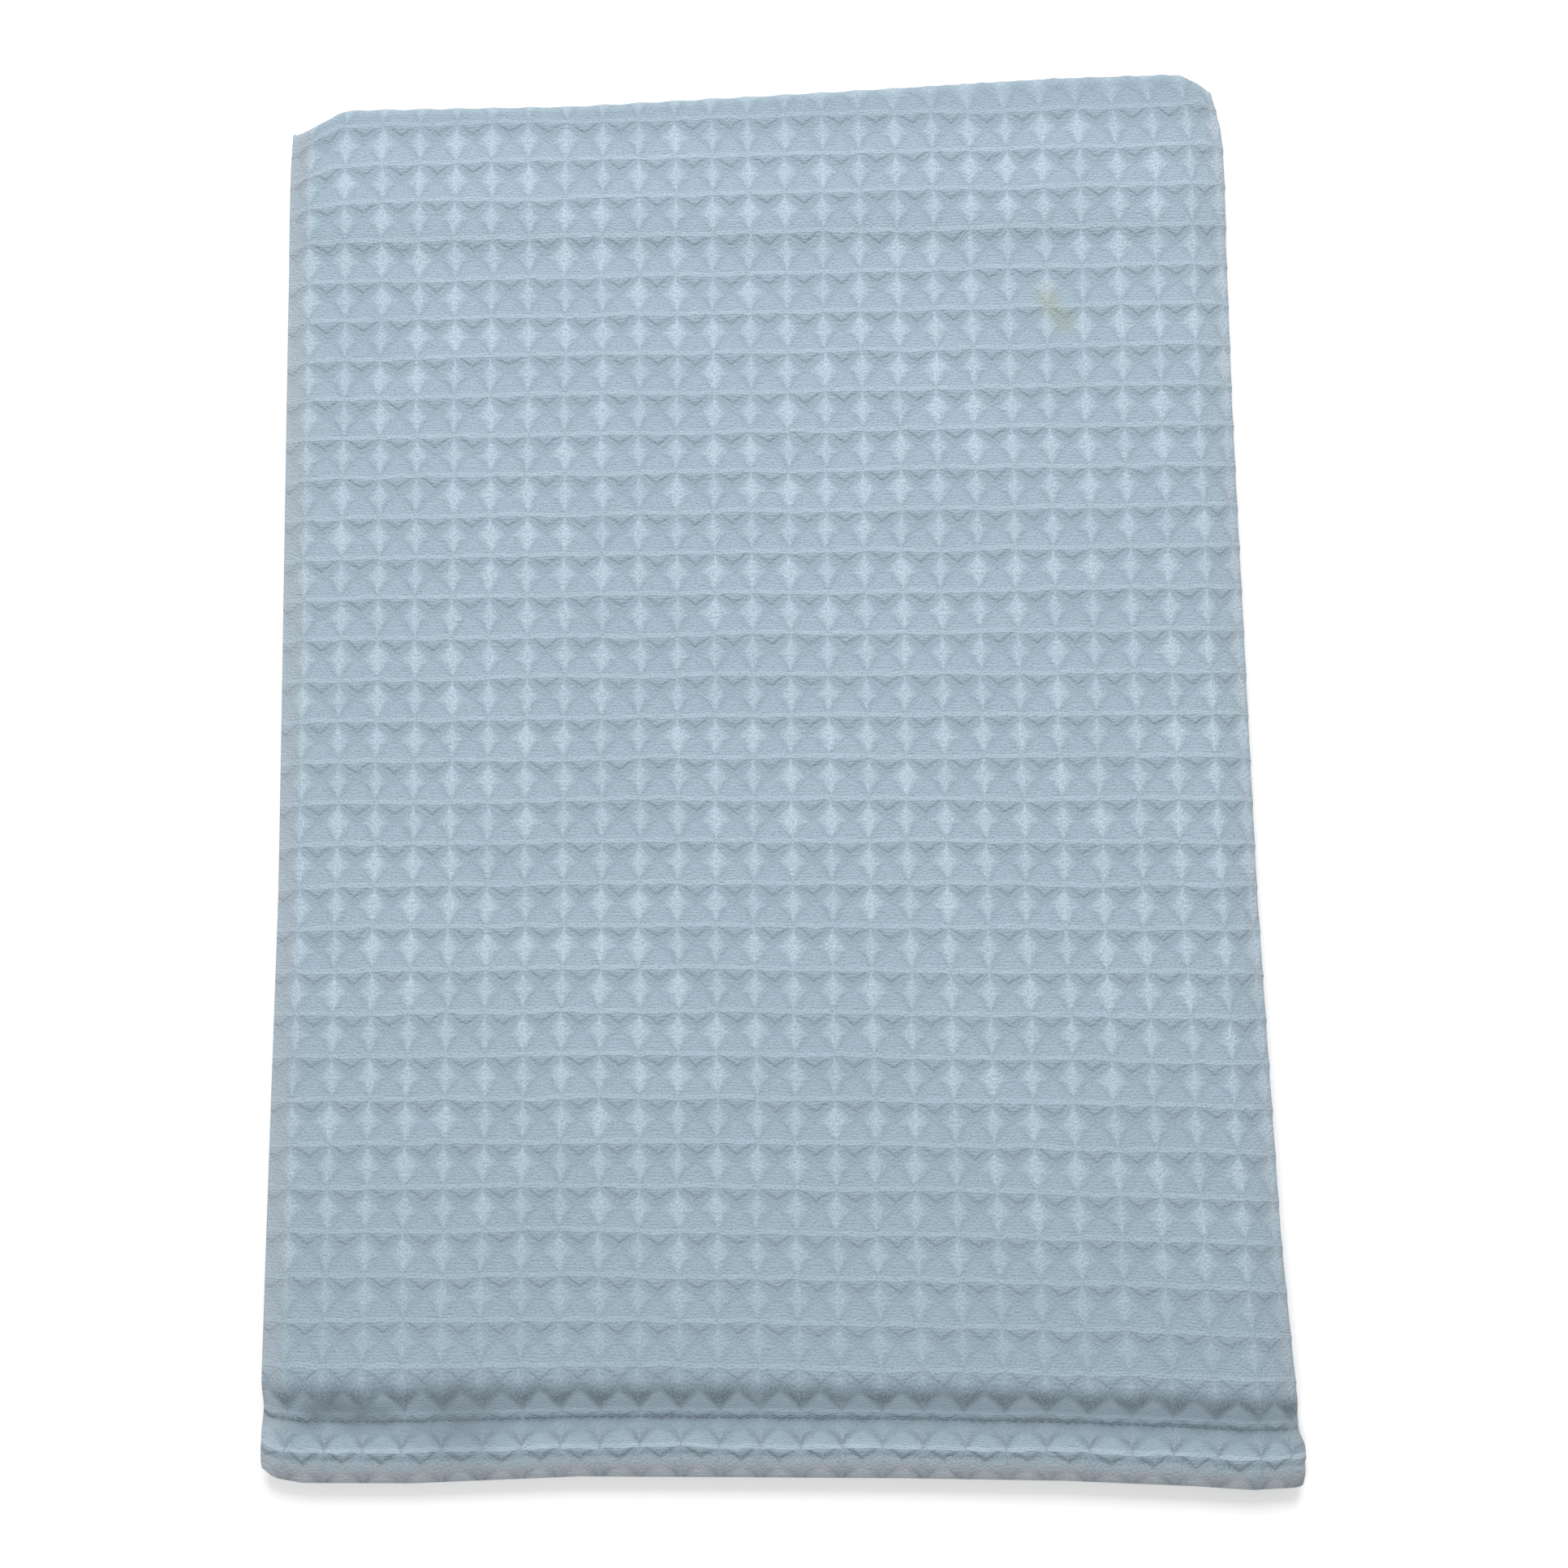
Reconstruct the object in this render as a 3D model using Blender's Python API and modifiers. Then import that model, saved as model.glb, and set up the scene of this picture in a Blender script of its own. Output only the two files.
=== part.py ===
"""A waffle-weave bath towel, folded in half lengthwise and in three crosswise, lying flat.

Metres, +Z up. The origin is under the middle of the folded towel, on the surface it lies on.
+Y points to the far fold and -Y to the hem that shows on top.
"""

import math
from collections import namedtuple

import bmesh
import bpy

# The cloth: one ply, ridges of the weave included, and the air between two plies
PLY = 0.0017
PLY_GAP = 0.0007
PLY_PITCH = PLY + PLY_GAP
LAYER_PITCH = 2 * PLY_PITCH  # a layer is the two plies of the lengthwise fold

# The lengthwise fold is on the right, and the two selvedges lie on the left
LEFT_EDGE = -0.1810
RIGHT_EDGE = 0.1720
SELVEDGE_SETBACK = 0.0090  # how far the lower selvedge ends short of the upper one

# The crosswise folds
FAR_HEM_END = 0.2280  # the end of the bottom layer
NEAR_FOLD = -0.2176  # centre of the fold between the bottom and the middle layer
FAR_FOLD = 0.2495  # centre of the fold between the middle and the top layer
FOLD_RADIUS = LAYER_PITCH / 2

# The hems: each ply is three turns of cloth there, drawn in at the seam and round at its nose
HEM_DEPTH = 0.0213
NEAR_HEM_PLY = 0.0042
FAR_HEM_PLY = 0.0026  # pressed by the layers on it
SEAM_REACH = 0.0080
NOSE_PLY = 0.0018
NOSE_REACH = 0.0090
NOSE_PARTING = 0.0010  # the two plies stand this much further apart at a hem's end

# The top layer runs on over the near fold and down to the surface, which its seam clears
DROP_ANGLE = 34.0
DROP_CROWN_RADIUS = FOLD_RADIUS + LAYER_PITCH
DROP_FOOT_RADIUS = 0.0080
SEAM_HEIGHT = 0.0028

# The upper layers rise over the far hem within this length
LIFT_REACH = 0.0200

# The outline that the towel was left in
SIDES = (
    # y, left, right
    (-0.245, -0.1826, 0.1803),
    (-0.218, -0.1820, 0.1795),
    (-0.165, -0.1816, 0.1762),
    (-0.048, -0.1805, 0.1728),
    (0.127, -0.1820, 0.1706),
    (0.226, -0.1828, 0.1706),
    (0.238, -0.1828, 0.1698),
    (0.250, -0.1824, 0.1672),
)
FAR_SIDE = (
    # x, y of the far fold's edge
    (-0.184, 0.2430),
    (-0.177, 0.2459),
    (-0.169, 0.2487),
    (-0.164, 0.2512),
    (-0.157, 0.2519),
    (-0.076, 0.2510),
    (0.016, 0.2539),
    (0.108, 0.2571),
    (0.172, 0.2573),
)
NEAR_SIDE = (
    # x, y of the near hem's edge
    (-0.184, -0.2495),
    (-0.178, -0.2540),
    (-0.168, -0.2557),
    (-0.129, -0.2557),
    (-0.070, -0.2532),
    (0.045, -0.2535),
    (0.100, -0.2542),
    (0.145, -0.2559),
    (0.164, -0.2571),
    (0.184, -0.2560),
)
FAR_CORNER_REACH = 0.0140  # where both folds meet, the far edge curves away over this width
FAR_CORNER_CUT = 0.0060
EDGE_REACH = 0.060  # how far in from an end its unevenness dies away

# The lower layers lie a little inside the top one
LAYER_INSETS = (
    # way along the cloth from the far hem, inset on the left, inset on the right
    (0.000, 0.0030, 0.0030),
    (0.440, 0.0022, 0.0008),
    (0.700, 0.0016, 0.0018),
    (0.920, 0.0000, 0.0000),
)

# The stack's height: the sides sink, and soft rises stay where it was not pressed flat
LEFT_SAG = 0.0024
LEFT_SAG_REACH = 0.0100
RIGHT_SAG = 0.0012
RIGHT_SAG_REACH = 0.0160
RISES = (
    # x, y, reach, height
    (0.120, -0.185, 0.080, 0.0014),
    (-0.110, 0.160, 0.090, 0.0010),
    (0.060, 0.060, 0.070, -0.0007),
    (-0.060, -0.120, 0.090, 0.0007),
)

BLUE = (0.400, 0.500, 0.580)
ROUGHNESS = 0.85

Run = namedtuple("Run", "name length turn steps")
Station = namedtuple("Station", "y z heading along ply pitch")
Column = namedtuple("Column", "x out side")


def straight(name, length, steps):
    return Run(name, length, 0.0, steps)


def bend(name, radius, degrees, steps):
    return Run(name, radius * math.radians(abs(degrees)), degrees, steps)


def smooth(share):
    share = min(1.0, max(0.0, share))
    return share * share * (3 - 2 * share)


def between(table, place, column):
    """A column of a table, read at a place between its rows."""
    if place <= table[0][0]:
        return table[0][column]
    for low, high in zip(table, table[1:]):
        if place <= high[0]:
            share = (place - low[0]) / (high[0] - low[0])
            return low[column] + share * (high[column] - low[column])
    return table[-1][column]


def crosswise_runs():
    """The back-and-forth section between a layer's two plies, from the far hem to the near one."""
    angle = math.radians(DROP_ANGLE)
    drop_in_bends = (DROP_CROWN_RADIUS + DROP_FOOT_RADIUS) * (1 - math.cos(angle))
    slope = (2 * LAYER_PITCH - SEAM_HEIGHT - drop_in_bends) / math.sin(angle)
    far_hem_start = FAR_HEM_END - HEM_DEPTH
    return (
        straight("far hem", HEM_DEPTH, 6),
        straight("bottom layer", far_hem_start - NEAR_FOLD, 5),
        bend("near fold", FOLD_RADIUS, -180, 8),
        straight("middle layer", far_hem_start - LIFT_REACH - NEAR_FOLD, 5),
        straight("middle layer's rise over the far hem", LIFT_REACH, 2),
        straight("middle layer over the far hem", FAR_FOLD - far_hem_start, 2),
        bend("far fold", FOLD_RADIUS, 180, 8),
        straight("top layer over the far hem", FAR_FOLD - far_hem_start, 2),
        straight("top layer's fall from the far hem", LIFT_REACH, 2),
        straight("top layer", far_hem_start - LIFT_REACH - NEAR_FOLD, 9),
        bend("over the near fold", DROP_CROWN_RADIUS, DROP_ANGLE, 5),
        straight("slope", slope, 2),
        bend("foot of the slope", DROP_FOOT_RADIUS, -DROP_ANGLE, 4),
        straight("near hem", HEM_DEPTH, 9),
    )


def hem_section(from_end, full):
    """One ply's thickness, and the pitch of the two, at a distance from a hem's end."""
    body = PLY + (full - PLY) * smooth((HEM_DEPTH - from_end) / SEAM_REACH)
    inward = 1 - min(1.0, from_end / NOSE_REACH)
    ply = NOSE_PLY + (body - NOSE_PLY) * math.sqrt(1 - inward * inward)
    return ply, ply + PLY_GAP + NOSE_PARTING * inward


def crosswise_stations():
    """Walks the section, and notes each station's place, heading and ply."""
    runs = crosswise_runs()
    total = sum(run.length for run in runs)
    y, z, heading, along = FAR_HEM_END, (PLY + PLY_PITCH) / 2, 180.0, 0.0
    stations = []

    def note(run):
        near = max(0.0, total - along)
        ply, pitch = hem_section(min(along, near), FAR_HEM_PLY if along < near else NEAR_HEM_PLY)
        height = z
        if run is runs[0]:
            height = (ply + pitch) / 2
        elif run is runs[-1]:
            from_seam = (HEM_DEPTH - near) / SEAM_REACH
            height = SEAM_HEIGHT * (1 - smooth(from_seam)) + (ply + pitch) / 2
        stations.append(Station(y, height, heading, along, ply, pitch))

    note(runs[0])
    for run in runs:
        step, turn = run.length / run.steps, run.turn / run.steps
        half = math.radians(abs(turn)) / 2
        chord = step * math.sin(half) / half if turn else step
        for _ in range(run.steps):
            middle = math.radians(heading + turn / 2)
            y += chord * math.cos(middle)
            z += chord * math.sin(middle)
            heading += turn
            along += step
            note(run)
    return stations


def lengthwise_columns():
    """The lengthwise fold: x along a flat ply, then how far out and to which side a column lies."""
    bend_x = RIGHT_EDGE - (PLY_PITCH + PLY) / 2
    selvedge = LEFT_EDGE + SELVEDGE_SETBACK
    sag = bend_x - RIGHT_SAG_REACH
    to_selvedge, flat, to_bend, bent = 4, 11, 2, 8
    flat_ply = [selvedge + (sag - selvedge) * i / flat for i in range(flat)]
    flat_ply += [sag + (bend_x - sag) * i / to_bend for i in range(to_bend)]
    upper = [LEFT_EDGE + SELVEDGE_SETBACK * i / to_selvedge for i in range(to_selvedge)] + flat_ply
    columns = [Column(x, 0, 1) for x in upper]
    for i in range(bent + 1):
        angle = math.pi * i / bent
        columns.append(Column(bend_x, math.sin(angle), math.cos(angle)))
    return columns + [Column(x, 0, -1) for x in reversed(flat_ply)]


def far_side(x):
    """The far fold's edge, with the round corner on the right."""
    side_fold = SIDES[-1][2] - (PLY_PITCH + PLY) / 2
    into_corner = (x - side_fold + FAR_CORNER_REACH) / FAR_CORNER_REACH
    return between(FAR_SIDE, x, 1) - FAR_CORNER_CUT * smooth(into_corner)


def lie(x, y, z, station, near_edge):
    """Moves a point of the evenly folded towel to where the towel was left."""
    share = (x - LEFT_EDGE) / (RIGHT_EDGE - LEFT_EDGE)
    left = between(SIDES, y, 1) + between(LAYER_INSETS, station.along, 1)
    right = between(SIDES, y, 2) - between(LAYER_INSETS, station.along, 2)
    new_x = left + share * (right - left)

    far_edge = FAR_FOLD + FOLD_RADIUS + LAYER_PITCH / 2 - PLY_GAP / 2
    far_share = smooth((y - far_edge + EDGE_REACH) / EDGE_REACH)
    new_y = y + far_share * (far_side(new_x) - far_edge)
    near_share = smooth((near_edge + EDGE_REACH - y) / EDGE_REACH)
    new_y += near_share * (between(NEAR_SIDE, new_x, 1) - near_edge)

    bottom, top = NEAR_HEM_PLY / 2, PLY / 2 + 2 * LAYER_PITCH + PLY_PITCH
    level = max(0.0, (z - bottom) / (top - bottom))
    rise = sum(
        height * math.exp(-((new_x - at_x) ** 2 + (new_y - at_y) ** 2) / reach**2)
        for at_x, at_y, reach, height in RISES
    )
    softness = PLY_PITCH / station.pitch  # the thick hems sag less
    sag = LEFT_SAG * level**2 * smooth((left + LEFT_SAG_REACH - new_x) / LEFT_SAG_REACH)
    sag += RIGHT_SAG * smooth((new_x - right + RIGHT_SAG_REACH) / RIGHT_SAG_REACH)
    return new_x, new_y, z + (rise - sag * softness) * level


def towel_point(column, station, near_edge):
    """A point of the cloth's middle surface."""
    heading = math.radians(station.heading)
    offset = column.side * station.pitch / 2
    x = column.x + column.out * station.pitch / 2
    y = station.y + math.sin(heading) * offset
    z = station.z - math.cos(heading) * offset
    if station.z > LAYER_PITCH:
        lift_end = FAR_HEM_END - HEM_DEPTH
        z += 2 * (FAR_HEM_PLY - PLY) * smooth((y - lift_end + LIFT_REACH) / LIFT_REACH)
    return lie(x, y, z, station, near_edge)


def cloth_material():
    material = bpy.data.materials.new("pale blue waffle cotton")
    material.use_nodes = True
    shader = material.node_tree.nodes["Principled BSDF"]
    shader.inputs["Base Color"].default_value = (*BLUE, 1.0)
    shader.inputs["Roughness"].default_value = ROUGHNESS
    shader.inputs["Metallic"].default_value = 0.0
    return material


def folded_towel(collection):
    """The whole cloth: a flat grid laid along both folds, then given its thickness."""
    columns, stations = lengthwise_columns(), crosswise_stations()
    across, along = len(columns) - 1, len(stations) - 1
    bm = bmesh.new()
    bmesh.ops.create_grid(bm, x_segments=across, y_segments=along, size=1.0)
    mesh = bpy.data.meshes.new("towel")
    bm.to_mesh(mesh)
    bm.free()
    towel = bpy.data.objects.new("towel", mesh)
    collection.objects.link(towel)
    thickness = towel.vertex_groups.new(name="thickness")
    for vertex in mesh.vertices:
        column = columns[round((vertex.co.x + 1) / 2 * across)]
        station = stations[round((vertex.co.y + 1) / 2 * along)]
        vertex.co = towel_point(column, station, stations[-1].y)
        thickness.add([vertex.index], station.ply / NEAR_HEM_PLY, "REPLACE")
    solidify = towel.modifiers.new("thickness", "SOLIDIFY")
    solidify.thickness = NEAR_HEM_PLY
    solidify.offset = 0.0
    solidify.vertex_group = thickness.name
    mesh.materials.append(cloth_material())
    mesh.shade_smooth()


def main():
    for old in list(bpy.data.objects):
        bpy.data.objects.remove(old)
    collection = bpy.data.collections.new("bath towel")
    bpy.context.scene.collection.children.link(collection)
    folded_towel(collection)


main()
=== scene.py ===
"""A pale blue waffle-weave bath towel, folded in half lengthwise and in three crosswise.

Metres, +Z up, in the frame's own axes. The towel lies flat, with its near hem showing on top
at -Y, its lengthwise fold at +X and its two selvedges at -X.
"""

import math
from collections import namedtuple

import bpy
import numpy as np
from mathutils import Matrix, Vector


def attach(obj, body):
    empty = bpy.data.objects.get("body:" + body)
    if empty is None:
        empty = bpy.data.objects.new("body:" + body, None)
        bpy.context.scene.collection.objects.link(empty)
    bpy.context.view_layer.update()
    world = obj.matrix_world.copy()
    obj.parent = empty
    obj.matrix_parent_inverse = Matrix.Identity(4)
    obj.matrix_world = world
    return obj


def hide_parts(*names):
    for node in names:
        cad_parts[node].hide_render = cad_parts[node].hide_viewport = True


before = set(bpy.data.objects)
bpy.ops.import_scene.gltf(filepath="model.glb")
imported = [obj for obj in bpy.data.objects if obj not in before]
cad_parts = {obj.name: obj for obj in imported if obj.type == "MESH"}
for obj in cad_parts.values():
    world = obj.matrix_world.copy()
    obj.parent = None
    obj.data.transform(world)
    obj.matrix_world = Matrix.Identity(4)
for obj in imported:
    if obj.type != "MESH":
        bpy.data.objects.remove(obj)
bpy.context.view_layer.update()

bl_info = {
    "name": "Folded waffle bath towel",
    "version": (1, 0, 0),
    "blender": (4, 5, 0),
    "location": "3D View > Sidebar > Towel",
    "description": "Makes a folded waffle-weave bath towel, its hem stitches and a plain stage",
    "category": "Object",
}

# The cloth: one ply, ridges of the weave included, and the air between two plies
PLY = 0.0017
PLY_GAP = 0.0007
PLY_PITCH = PLY + PLY_GAP
LAYER_PITCH = 2 * PLY_PITCH

# The lengthwise fold is on the right, and the two selvedges lie on the left
LEFT_EDGE = -0.1810
RIGHT_EDGE = 0.1720
SELVEDGE_SETBACK = 0.0090
SIDE_BEND_RADIUS = PLY_PITCH / 2
SIDE_BEND_START = RIGHT_EDGE - (PLY_PITCH + PLY) / 2
SIDE_BEND_LENGTH = math.pi * SIDE_BEND_RADIUS
LOWER_PLY_END = 2 * SIDE_BEND_START + SIDE_BEND_LENGTH - LEFT_EDGE - SELVEDGE_SETBACK

# The crosswise folds
FAR_HEM_END = 0.2280
NEAR_FOLD = -0.2176
FAR_FOLD = 0.2495
FOLD_RADIUS = LAYER_PITCH / 2

# The hems: each ply is three turns of cloth there, drawn in at the seam and round at its nose
HEM_DEPTH = 0.0213
NEAR_HEM_PLY = 0.0042
FAR_HEM_PLY = 0.0026
SEAM_REACH = 0.0080
NOSE_PLY = 0.0018
NOSE_REACH = 0.0090
NOSE_PARTING = 0.0010
RIM = PLY / 2  # the cloth's edges are half round

# The top layer runs on over the near fold and down to the surface
DROP_ANGLE = 34.0
DROP_CROWN_RADIUS = FOLD_RADIUS + LAYER_PITCH
DROP_FOOT_RADIUS = 0.0080
SEAM_HEIGHT = 0.0028
LIFT_REACH = 0.0200

# The outline that the towel was left in
SIDES = (
    # y, left, right
    (-0.245, -0.1826, 0.1803),
    (-0.233, -0.1824, 0.1812),
    (-0.218, -0.1820, 0.1795),
    (-0.165, -0.1816, 0.1762),
    (-0.048, -0.1805, 0.1728),
    (0.127, -0.1820, 0.1706),
    (0.226, -0.1828, 0.1706),
    (0.238, -0.1828, 0.1698),
    (0.250, -0.1824, 0.1672),
)
FAR_SIDE = (
    # x, y of the far fold's edge
    (-0.184, 0.2434),
    (-0.180, 0.2441),
    (-0.174, 0.2450),
    (-0.169, 0.2480),
    (-0.164, 0.2510),
    (-0.157, 0.2519),
    (-0.076, 0.2510),
    (0.016, 0.2539),
    (0.108, 0.2571),
    (0.172, 0.2573),
)
NEAR_SIDE = (
    # x, y of the near hem's edge
    (-0.184, -0.2495),
    (-0.178, -0.2540),
    (-0.168, -0.2557),
    (-0.129, -0.2557),
    (-0.070, -0.2532),
    (0.045, -0.2535),
    (0.100, -0.2542),
    (0.145, -0.2559),
    (0.164, -0.2571),
    (0.184, -0.2560),
)
FAR_CORNER_REACH = 0.0140  # the far right corner is cut over this width
FAR_CORNER_CUT = 0.0064
FAR_CORNER_ROUND = 2.5  # the power of the cut's curve
EDGE_REACH = 0.060  # how far in from an end its unevenness dies away
LAYER_INSETS = (
    # way along the cloth from the far hem, inset on the left, inset on the right
    (0.000, 0.0030, 0.0030),
    (0.440, 0.0022, 0.0008),
    (0.700, 0.0016, 0.0018),
    (0.920, 0.0000, 0.0000),
)
LEFT_SAG = 0.0024
LEFT_SAG_REACH = 0.0100
RIGHT_SAG = 0.0012
RIGHT_SAG_REACH = 0.0160
RISES = (
    # x, y, reach, height
    (0.120, -0.185, 0.080, 0.0014),
    (-0.110, 0.160, 0.090, 0.0010),
    (0.060, 0.060, 0.070, -0.0007),
    (-0.060, -0.120, 0.090, 0.0007),
)

# The waffle weave: square cells between ridges, which lie at whole numbers of cells
CELL_ACROSS = 0.0138
CELL_ALONG = 0.01523
YARNS_PER_CELL = 14
RIDGES_ACROSS = (
    # ridge, place across the cloth; the ridge on the side fold is squeezed closer
    (0.0, -0.1725),
    (24.0, 0.1587),
    (25.0, 0.1690),
)
RIDGES_ALONG = (
    # ridge, way from the near hem's end; the cells stretch down the drop and shrink in the hem
    (-0.75, 0.0),
    (0.0, 0.0107),
    (1.0, 0.0233),
    (2.0, 0.0408),
)
WEAVE_PULL = -0.0055  # the near right corner was pulled to the near side
WEAVE_PULL_FROM = 0.0700
WEAVE_PULL_REACH = 0.2700
WEAVE_PULL_MOST = 1.3  # shares of the reach that the pull goes on for
WEAVE_BOW = (-0.070, -0.090, 0.100, 0.0012)  # x, y, reach, height
WEAVE_SLANT = (-0.0025, 0.0040)  # least and most way that the far fold moves along the weave
CELL_STEPS = (0.0, 0.08, 0.20, 0.35, 0.50, 0.65, 0.80, 0.92)

# The mesh's rows and columns
LINE_MARGIN = 0.0005  # the weave's lines keep this far from a rim or a bend
ROW_GAP = 0.0004
FINE_BEFORE_FOLD = 0.0050  # the fine columns start this far before the far fold
RELIEF_FADE = 0.0020
NOSE_ROWS_END = 0.0015
SEAM_POINTS = 120
STITCH_SHARE = 0.70  # how much of its pitch a stitch fills
SEAM_INSETS = (0.004, 0.003)  # the stitches stop short of the selvedge and the side fold

# The camera looks down on the towel, a little from the right and from the near side
CAMERA_PLACE = (0.0289, -0.0869, 0.6530)
CAMERA_TURN = (6.81, 2.27, -0.43)  # degrees about X, Y and Z
CAMERA_LENS = 41.0
CAMERA_SENSOR = 36.0

Run = namedtuple("Run", "length turn rows")
Sheet = namedtuple("Sheet", "places weave share faces")
Forms = namedtuple(
    "Forms", "across along pit warp pad chevron_edge mound dome_edge tent weft_ridge"
)

# The nodes that are used most
MATH = "ShaderNodeMath"
VECTOR = "ShaderNodeVectorMath"
RAMP = "ShaderNodeMapRange"
ATTRIBUTE = "GeometryNodeInputNamedAttribute"


def linear_colour(hex_code):
    """A #RRGGBB colour as Blender's linear red, green and blue."""
    parts = [int(hex_code[i : i + 2], 16) / 255 for i in (1, 3, 5)]
    return tuple(p / 12.92 if p <= 0.04045 else ((p + 0.055) / 1.055) ** 2.4 for p in parts)


def add(tree, kind, inputs=(), output=0, **settings):
    """Adds a node with its settings, sets or links its inputs, and returns one output."""
    node = tree.nodes.new(kind)
    for name, value in settings.items():
        setattr(node, name, value)
    for socket, value in inputs.items() if isinstance(inputs, dict) else enumerate(inputs):
        if isinstance(value, bpy.types.NodeSocket):
            tree.links.new(value, node.inputs[socket])
        else:
            node.inputs[socket].default_value = value
    return node.outputs[output] if node.outputs else node


# The folded cloth's shape


def smooth(share):
    share = np.clip(share, 0.0, 1.0)
    return share * share * (3 - 2 * share)


def between(table, place, column):
    """A column of a table, read at places between its rows."""
    rows = np.array(table)
    return np.interp(place, rows[:, 0], rows[:, column])


def crosswise_runs():
    """The back-and-forth section between a layer's two plies, from the far hem to the near one."""
    angle = math.radians(DROP_ANGLE)

    def bend(radius, degrees, rows):
        return Run(radius * math.radians(abs(degrees)), degrees, rows)

    drop_in_bends = (DROP_CROWN_RADIUS + DROP_FOOT_RADIUS) * (1 - math.cos(angle))
    slope = (2 * LAYER_PITCH - SEAM_HEIGHT - drop_in_bends) / math.sin(angle)
    far_hem_start = FAR_HEM_END - HEM_DEPTH
    return (
        Run(HEM_DEPTH, 0, 6),
        Run(far_hem_start - NEAR_FOLD, 0, 14),
        bend(FOLD_RADIUS, -180, 8),
        Run(far_hem_start - LIFT_REACH - NEAR_FOLD, 0, 14),
        Run(LIFT_REACH, 0, 3),
        Run(FAR_FOLD - far_hem_start, 0, 4),
        bend(FOLD_RADIUS, 180, 8),
        Run(FAR_FOLD - far_hem_start, 0, 4),
        Run(LIFT_REACH, 0, 3),
        Run(far_hem_start - LIFT_REACH - NEAR_FOLD, 0, 16),
        bend(DROP_CROWN_RADIUS, DROP_ANGLE, 5),
        Run(slope, 0, 3),
        bend(DROP_FOOT_RADIUS, -DROP_ANGLE, 4),
        Run(HEM_DEPTH, 0, 9),
    )


RUNS = crosswise_runs()
RUN_STARTS = np.cumsum([0.0] + [run.length for run in RUNS])
TOTAL = RUN_STARTS[-1]

# Where the bends and the near hem are among the runs
NEAR_BEND, FAR_BEND, CROWN, FOOT, NEAR_HEM = 2, 6, 10, 12, 13
NEAR_FOLD_START, FAR_FOLD_START = RUN_STARTS[NEAR_BEND], RUN_STARTS[FAR_BEND]


def walk_section(along):
    """Follows the section: y, z and heading at each way along the cloth."""
    y, z, heading = (np.zeros_like(along) for _ in range(3))
    at_y, at_z, at_heading = FAR_HEM_END, (PLY + PLY_PITCH) / 2, math.pi
    for start, run in zip(RUN_STARTS, RUNS):
        way = np.append(np.clip(along - start, 0, run.length).ravel(), run.length)
        now = at_heading + math.radians(run.turn) * way / run.length
        if run.turn:
            radius = run.length / math.radians(run.turn)
            run_y = at_y + radius * (np.sin(now) - math.sin(at_heading))
            run_z = at_z - radius * (np.cos(now) - math.cos(at_heading))
        else:
            run_y = at_y + math.cos(at_heading) * way
            run_z = at_z + math.sin(at_heading) * way
        here = along >= start
        y = np.where(here, run_y[:-1].reshape(along.shape), y)
        z = np.where(here, run_z[:-1].reshape(along.shape), z)
        heading = np.where(here, now[:-1].reshape(along.shape), heading)
        at_y, at_z, at_heading = run_y[-1], run_z[-1], now[-1]
    return y, z, heading


NEAR_EDGE = float(walk_section(np.array([TOTAL]))[0][0])
FAR_EDGE = FAR_FOLD + FOLD_RADIUS + LAYER_PITCH / 2 - PLY_GAP / 2


def far_cut(x):
    """How far the far fold's edge lies beyond an even one."""
    side_fold = SIDES[-1][2] - (PLY_PITCH + PLY) / 2
    into_corner = np.clip((x - side_fold + FAR_CORNER_REACH) / FAR_CORNER_REACH, 0, 1)
    cut = FAR_CORNER_CUT * into_corner**FAR_CORNER_ROUND
    return between(FAR_SIDE, x, 1) - cut - FAR_EDGE


def far_share(y):
    return smooth((y - FAR_EDGE + EDGE_REACH) / EDGE_REACH)


def lie(x, y, z, along, pitch):
    """Moves points of the evenly folded towel to where the towel was left."""
    share = (x - LEFT_EDGE) / (RIGHT_EDGE - LEFT_EDGE)
    left = between(SIDES, y, 1) + between(LAYER_INSETS, along, 1)
    right = between(SIDES, y, 2) - between(LAYER_INSETS, along, 2)
    new_x = x + (left - LEFT_EDGE) * (1 - share) ** 3 + (right - RIGHT_EDGE) * share**3

    near_share = smooth((NEAR_EDGE + EDGE_REACH - y) / EDGE_REACH)
    far = far_share(y)
    bow_x, bow_y, bow_reach, bow = WEAVE_BOW
    pull = WEAVE_PULL * share**3 * np.clip(
        (WEAVE_PULL_FROM - y) / WEAVE_PULL_REACH, 0, WEAVE_PULL_MOST
    )
    pull += bow * np.exp(-((x - bow_x) ** 2 + (y - bow_y) ** 2) / bow_reach**2)
    new_y = y + far * far_cut(new_x) + near_share * (between(NEAR_SIDE, new_x, 1) - NEAR_EDGE)
    new_y += (1 - near_share) * (1 - far) * pull

    bottom, top = NEAR_HEM_PLY / 2, PLY / 2 + 2 * LAYER_PITCH + PLY_PITCH
    level = np.maximum(0.0, (z - bottom) / (top - bottom))
    rise = sum(
        height * np.exp(-((new_x - at_x) ** 2 + (new_y - at_y) ** 2) / reach**2)
        for at_x, at_y, reach, height in RISES
    )
    sag = LEFT_SAG * level**2 * smooth((left + LEFT_SAG_REACH - new_x) / LEFT_SAG_REACH)
    sag += RIGHT_SAG * smooth((new_x - right + RIGHT_SAG_REACH) / RIGHT_SAG_REACH)
    return np.stack([new_x, new_y, z + (rise - sag * PLY_PITCH / pitch) * level], axis=-1)


def rim_share(distance):
    """The part of the full thickness at a distance in from an edge of the cloth."""
    return np.sqrt(1 - (1 - np.clip(distance / RIM, 0, 1)) ** 2)


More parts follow.
